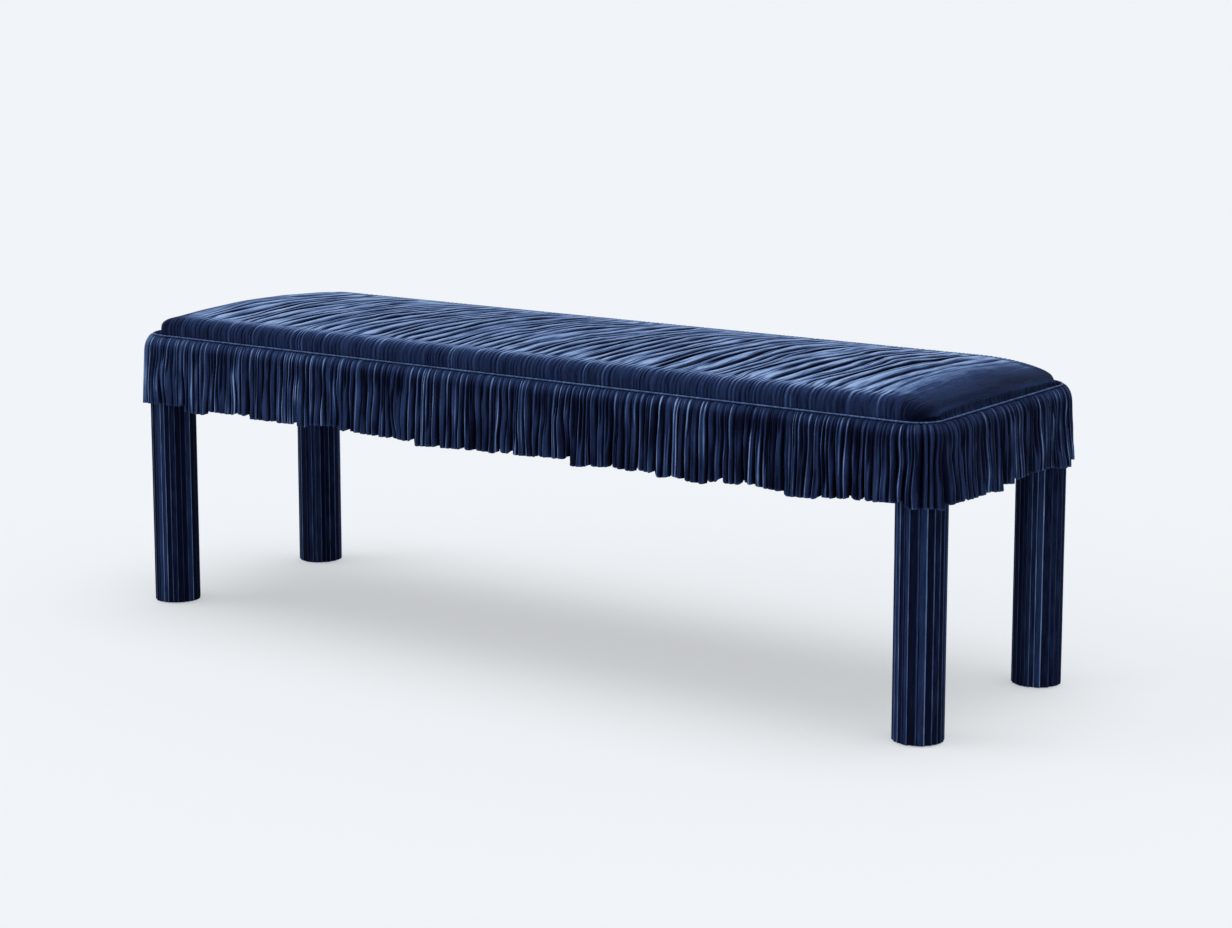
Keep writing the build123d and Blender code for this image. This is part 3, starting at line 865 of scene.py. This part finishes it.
    # Tone: valleys painted black as shade, navy folds, and a thin pale line down the crest of each fold
    # as a painted highlight; the shoulder is painted paler where it faces the light, and the hem's edge
    # gets a painted highlight
    body = np.clip(shape, 0, 1) ** 1.15
    tone = skirt["bodyTone"] * body
    nearLine = np.exp(-((share - 0.29) / 0.06) ** 2) * rng.uniform(0.25, 1.0, count)[index]
    farLine = np.exp(-((share - np.where(lean > 0, 0.58, 0.71)[index]) / 0.06) ** 2)
    farLine = farLine * np.maximum(0, rng.uniform(-0.4, 1.0, count))[index]
    comesAndGoes = np.clip(0.8 + 0.7 * noise(index[None, :] * 3.3 + 0.5, d / 50, seed + 11), 0, 1)
    # Painted light on the shoulder, which faces up to the light
    tone = np.maximum(tone, (skirt["shoulderLight"] + 0.3 * body) * (1 - ease(d, 14, 40)))
    tone = tone + skirt["highlightTone"] * (nearLine + farLine) * comesAndGoes * ease(d, 3, 20)
    tone = tone + 0.08 * noise(a / 9, d / 45, seed + 12)
    # Painted light along the long panels, paler towards the left end, and painted shade on the right
    # panel
    tone = tone + skirt["paler"] * math.sin(facing) * a / 600
    tone = tone * (1 - skirt["paintedRightShade"] * max(0, math.cos(facing)))
    # Painted highlight along the hem's rolled edge
    tone = np.maximum(tone, skirt["hemHighlight"] * ease(d, length - 2, length - 0.2) * shape ** 0.5)
    cloth = np.stack([a / 1000, d / 1000, 0 * a], axis=-1)
    panel = buildPiece(name, points, gridFaces(*a.shape), skirtVelvet, np.clip(tone, 0, 1), cloth)
    thicken(panel, skirt["cloth"], 1.0)
    settle(panel, node)


skirtPanel("skirtFront", "skirt_front", bench["longRun"], bench["shortRun"], -math.pi / 2, 100)
skirtPanel("skirtBack", "skirt_back", bench["longRun"], bench["shortRun"], math.pi / 2, 200)
skirtPanel("skirtLeft", "skirt_left", bench["shortRun"], bench["longRun"], math.pi, 300)
skirtPanel("skirtRight", "skirt_right", bench["shortRun"], bench["longRun"], 0.0, 400)
print("skirt made")

# Felt edge roll: a quarter round on the rails that gives the skirt its shoulder
edgeRoll = {
    "inner": 0.6,
    "outer": 8.0,
    "round": 6.0,
    "lumps": 0.15,  # the felt is this much thinner in places
    "stations": 1040,
}
along, line, outward = seamPath(edgeRoll["outer"], edgeRoll["stations"])
turn = np.linspace(0, np.pi / 2, 6)
innerSide = edgeRoll["inner"] - edgeRoll["outer"]
side = np.concatenate([[0.0], -edgeRoll["round"] * (1 - np.cos(turn)), [innerSide, innerSide]])
top = bench["deckTop"] - edgeRoll["round"] * (1 - np.sin(turn))
level = np.concatenate([[bench["deckBottom"]], top, [bench["deckTop"], bench["deckBottom"]]])
lumps = np.abs(edgeRoll["lumps"] * noise(along / 22, along * 0, 51))[:, None]
side = side[None, :] - lumps * (side > innerSide)
points = sweep(line, outward, side, level)
faces = gridFaces(len(along), len(level), True, True)
shoulderRoll = buildPiece("shoulderRoll", points, faces, feltFibre)
settle(shoulderRoll, "edge_roll")
print("edge roll made")

# Leg sleeves: knife pleats pressed flat round the leg, turned under its foot
sleeve = {
    "outer": 34.8,
    "step": 1.7,  # down from the folded edge of a pleat to the next one
    "inner": 30.1,
    "pleats": 24,
    "around": 384,
    "rows": 26,
    "bottom": 1.0,  # of the turned-in rim, which stands lower than the cloth over the glide
    "top": 340.8,
    "footRound": 1.3,
    "ragged": 0.7,
    "rimInner": 23.0,
    "underReach": 16.0,
    "underLevel": 3.0,
    "coreFoot": 4.45,
    "wander": 0.35,
    "tone": (0.22, 0.52),  # of the flat faces, from the darkest to the palest
    # painted highlight: the pale line near each pleat's folded edge
    "highlightTone": 0.5,
    "flat": (0.225, 0.352),  # of the cloth, in metres
}


def legSleeve(name, node, x, y, seed):
    rng = np.random.default_rng(seed)
    around, pleats = sleeve["around"], sleeve["pleats"]
    angle = np.linspace(0, 2 * np.pi, around, endpoint=False)
    foot = sleeve["bottom"] + sleeve["ragged"]
    levels = np.linspace(sleeve["top"], foot + sleeve["footRound"], sleeve["rows"])
    widths = rng.uniform(0.6, 1.4, pleats)
    edges = np.concatenate([[0], np.cumsum(widths) / widths.sum()]) * 2 * np.pi
    t, z = np.meshgrid(angle, levels, indexing="xy")
    sway = sleeve["wander"] / 30 * (noise(t * 3.5, z / 110, seed + 1) + noise(t * 9, z / 60, seed + 2))
    swayed = np.mod(t + sway * np.sin(t / 2), 2 * np.pi)
    index = np.clip(np.searchsorted(edges, swayed, side="right") - 1, 0, pleats - 1)
    share = (swayed - edges[index]) / (edges[index + 1] - edges[index])
    # A flat face that rises slowly to its folded edge, then a short step down
    drop = ease(share, 0.9, 1.0)
    shape = np.clip(share ** 1.6 * (1 - drop), 0, 1)
    heights = rng.uniform(0.55, 1.0, pleats)[index]
    radius = sleeve["outer"] - sleeve["step"] + sleeve["step"] * shape * heights
    # Painted highlight near each folded edge, and painted shade in the short step down under it
    line = ease(share, 0.7, 0.84) * (1 - ease(share, 0.9, 0.97))
    darkest, palest = sleeve["tone"]
    tone = darkest + (palest - darkest) * rng.uniform(0.0, 1.0, pleats)[index] ** 1.5
    paleLine = sleeve["highlightTone"] * line * rng.uniform(0.35, 1.0, pleats)[index]
    tone = (tone + paleLine) * (1 - 0.9 * drop)
    turn = np.linspace(0, np.pi / 2, 6)[1:, None]
    footRadius = radius[-1] - sleeve["footRound"] * (1 - np.cos(turn))
    rim = sleeve["bottom"] + sleeve["ragged"] * rng.uniform(0, 1, pleats)[index[-1]]
    z = z + (rim - foot) * (1 - ease(z, 4, 20))
    footZ = rim + sleeve["footRound"] * (1 - np.sin(turn))
    rimRadius = sleeve["rimInner"] + 0 * rim[None, :]
    # The end of the cloth lies under the core, and the inner face runs up beside it
    under = np.array([
        (sleeve["rimInner"] - 1, sleeve["underLevel"]),
        (sleeve["underReach"], sleeve["underLevel"]),
        (sleeve["underReach"], sleeve["coreFoot"]),
        (sleeve["inner"], sleeve["coreFoot"]),
        (sleeve["inner"], sleeve["top"]),
    ])[:, :, None] + 0 * angle
    allRadius = np.concatenate([radius, footRadius, rimRadius, under[:, 0]])
    allZ = np.concatenate([z, footZ, rim[None, :], under[:, 1]])
    # The foot's rounding gets a painted highlight
    footTone = np.repeat(tone[-1:], len(turn), 0) + 0.16
    allTone = np.concatenate([tone, footTone, np.full((1 + len(under), around), 0.3)])
    points = np.stack([x + allRadius * np.cos(angle), y + allRadius * np.sin(angle), allZ], axis=-1)
    cloth = np.stack([0.033 * angle[None, :] + 0 * allZ, allZ / 1000, 0 * allZ], axis=-1)
    faces = gridFaces(len(allZ), around, True, True, flip=True)
    piece = buildPiece(name, points, faces, skirtVelvet, np.clip(allTone, 0, 1), cloth)
    settle(piece, node)


for i, (name, (sideX, sideY)) in enumerate(legNames.items()):
    pieceName = "legSleeve" + "".join(part.capitalize() for part in name.split("_"))
    x, y = sideX * bench["legX"], sideY * bench["legY"]
    legSleeve(pieceName, "leg_sleeve_" + name, x, y, 500 + 10 * i)
print("leg sleeves made")

# Dust cover: thin black cloth stapled under the frame, cut out round the legs, sagging a little
dustCover = {
    "halfLength": 671.0,
    "halfDepth": 195.0,
    "notch": 35.5,  # radius of the cut-outs for the legs
    "thickness": 0.5,
    "sag": 2.5,
    "gap": 0.15,  # under the rails
    "rows": 60,
    "columns": 120,
}
notch = dustCover["notch"]
levels = np.linspace(-dustCover["halfDepth"], dustCover["halfDepth"], dustCover["rows"])
fromLeg = np.clip(np.abs(levels) - bench["legY"], -notch, notch)
notched = bench["legX"] - np.sqrt(notch ** 2 - fromLeg ** 2)
reach = np.where(fromLeg > -notch, notched, dustCover["halfLength"])
x = reach[:, None] * np.linspace(-1, 1, dustCover["columns"])
y = levels[:, None] + 0 * x
loose = np.clip(1 - (y / dustCover["halfDepth"]) ** 4, 0, 1)
loose = loose * np.clip(1 - (x / dustCover["halfLength"]) ** 6, 0, 1)
sag = dustCover["sag"] * loose * (0.8 + 0.4 * noise(x / 120, y / 90, 61))
points = np.stack([x, y, bench["frameBottom"] - dustCover["gap"] - sag], axis=-1)
faces = gridFaces(dustCover["rows"], dustCover["columns"], flip=True)
underCloth = buildPiece("underCloth", points, faces, cambricFibre)
thicken(underCloth, dustCover["thickness"], -1.0)
settle(underCloth, "dust_cover")
print("dust cover made")

# Floor, light and camera
studio = {
    "floor": "#edf0f3",
    "backdrop": "#f0f4f8",
    "floorSize": 200.0,
    "worldColour": "#eceef2",
    "worldStrength": 0.56,
    "glow": 0.52,  # share of the floor's brightness, as the camera sees it, that no shadow reaches
}
lamps = {
    "Overhead soft box": {"strength": 1.65, "angle": 56.0, "tilt": 4.0, "turn": 105.0},
    "Left soft box": {"strength": 1.35, "angle": 50.0, "tilt": 78.0, "turn": -55.0},
}
half = studio["floorSize"] / 2
floorMesh = bpy.data.meshes.new("floor")
corners = [(-half, -half, 0), (half, -half, 0), (half, half, 0), (-half, half, 0)]
floorMesh.from_pydata(corners, [], [(0, 1, 2, 3)])
floor = bpy.data.objects.new("floor", floorMesh)
bpy.context.collection.objects.link(floor)
floorMaterial, tree, place = newMaterial("Studio floor, painted")
paint = addNode(tree, "TexNoise", values={"Scale": 3.0, "Detail": 2.0}, links={"Vector": place})
rough = addNode(tree, "MapRange", values={"To Min": 0.75, "To Max": 0.9}, links={"Value": paint})
shader = addNode(
    tree, "BsdfPrincipled",
    values={"Base Color": linear(studio["floor"]), "Specular IOR Level": 0.1},
    links={"Roughness": rough},
)
seen = addNode(tree, "LightPath")
glow = addNode(tree, "Emission", values={"Color": linear(studio["floor"])})
share = addNode(
    tree, "Math", {"operation": "MULTIPLY"}, {1: studio["glow"]}, {0: seen.outputs["Is Camera Ray"]}
)
surface = addNode(tree, "MixShader", links={0: share, 1: shader, 2: glow})
addNode(tree, "OutputMaterial", links={"Surface": surface})
floorMesh.materials.append(floorMaterial)

world = bpy.data.worlds.new("Soft studio")
bpy.context.scene.world = world
world.use_nodes = True
tree = world.node_tree
tree.nodes.clear()
sky = addNode(
    tree, "Background",
    values={"Color": linear(studio["worldColour"]), "Strength": studio["worldStrength"]},
)
backdrop = addNode(tree, "Background", values={"Color": linear(studio["backdrop"])})
ray = addNode(tree, "LightPath")
mixed = addNode(tree, "MixShader", links={0: ray.outputs["Is Camera Ray"], 1: sky, 2: backdrop})
addNode(tree, "OutputWorld", links={"Surface": mixed})

for lampName, setting in lamps.items():
    lamp = bpy.data.lights.new(lampName, "SUN")
    lamp.energy = setting["strength"]
    lamp.angle = math.radians(setting["angle"])
    lampObject = bpy.data.objects.new(lampName, lamp)
    lampObject.rotation_euler = (math.radians(setting["tilt"]), 0, math.radians(setting["turn"]))
    bpy.context.collection.objects.link(lampObject)

view = {
    "place": (2.2825, -3.1498, 1.0217),
    "turn": 35.194,
    "tilt": 9.014,
    "focal": 2742.9,  # in pixels of a picture of this width, as the shift is
    "width": 1232,
    "shift": -100.0,
}
cameraData = bpy.data.cameras.new("Photo camera")
cameraData.sensor_fit = "HORIZONTAL"
cameraData.lens = view["focal"] / view["width"] * cameraData.sensor_width
cameraData.shift_y = view["shift"] / view["width"]
camera = bpy.data.objects.new("Photo camera", cameraData)
camera.location = view["place"]
camera.rotation_euler = (math.radians(90 - view["tilt"]), 0, math.radians(view["turn"]))
bpy.context.collection.objects.link(camera)
bpy.context.scene.camera = camera
bpy.context.scene.view_settings.view_transform = "Standard"
print("studio made")
